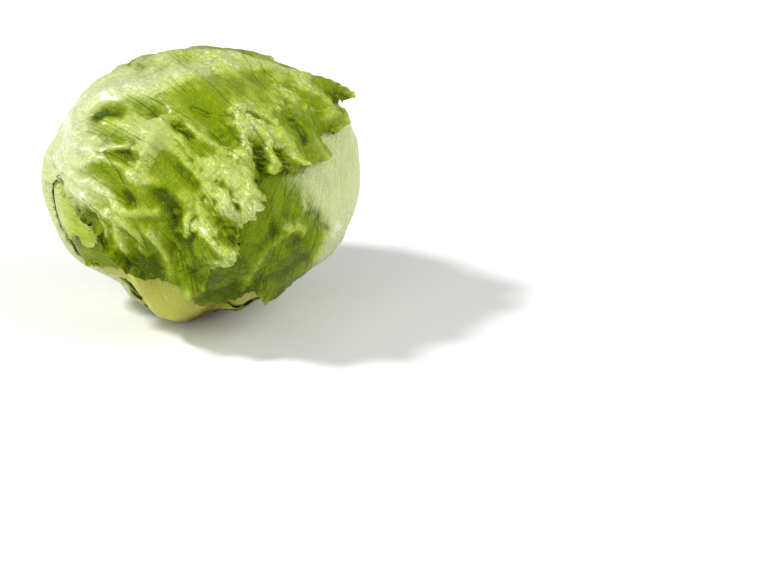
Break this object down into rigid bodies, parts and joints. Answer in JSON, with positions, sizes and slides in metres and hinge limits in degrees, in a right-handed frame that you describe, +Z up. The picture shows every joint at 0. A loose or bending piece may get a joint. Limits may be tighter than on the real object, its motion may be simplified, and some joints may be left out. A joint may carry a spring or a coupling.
{
  "type": "head of lettuce",
  "caption": "Round head of crisp lettuce with a flat cut stem, a dense heart and large overlapping wrapper leaves with frilled edges and thick pale ribs.",
  "frame": {"origin": "on the surface that the head stands on, under the middle of its box", "axes": "+Z up from the cut stem, -Y towards the front of the head, +X to the right seen from the front"},
  "size_m": [0.1634, 0.1684, 0.1343],
  "materials": {
    "cut_stem": "matt, browned where it was cut",
    "heart_leaf": "pale, smooth and slightly waxy",
    "inner_wrapper": "semi-gloss, puckered between the veins",
    "pale_rib": "smooth, pale and slightly waxy",
    "torn_leaf": "semi-gloss, with torn whitish edges",
    "right_leaf": "semi-gloss, pale and streaked at its side, dark green at its front",
    "cap_leaf": "semi-gloss, blistered and folded, with fine dark veins"
  },
  "bodies": {
    "root": {"stem": "cut_stem", "heart": "heart_leaf", "leaf_1_back_right": "inner_wrapper", "leaf_2_left_base": "pale_rib", "leaf_3_right_base": "pale_rib", "leaf_4_left": "inner_wrapper", "leaf_5_torn": "torn_leaf", "leaf_6_front_rib": "pale_rib", "leaf_7_right": "right_leaf", "leaf_8_back_left": "inner_wrapper", "leaf_9_cap": "cap_leaf"}
  },
  "joints": []
}
